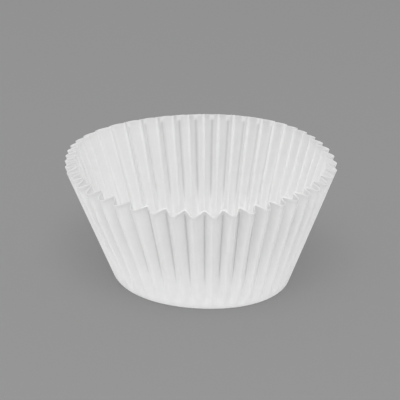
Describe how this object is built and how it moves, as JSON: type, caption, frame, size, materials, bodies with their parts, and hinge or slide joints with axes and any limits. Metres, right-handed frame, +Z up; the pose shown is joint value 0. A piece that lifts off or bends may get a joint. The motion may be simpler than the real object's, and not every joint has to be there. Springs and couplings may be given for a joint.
{
  "type": "cupcake liner",
  "caption": "Open round paper baking cup with a flat base and a flaring wall gathered into sharp flutes that fade out at the base.",
  "frame": {"origin": "centre of the base's underside", "axes": "+Z up, along the cup's axis towards the open rim; one outward crest lies on +X"},
  "size_m": [0.074, 0.074, 0.0333],
  "materials": {
    "paper": "matt, slightly translucent"
  },
  "bodies": {
    "root": {"liner": "paper"}
  },
  "joints": []
}
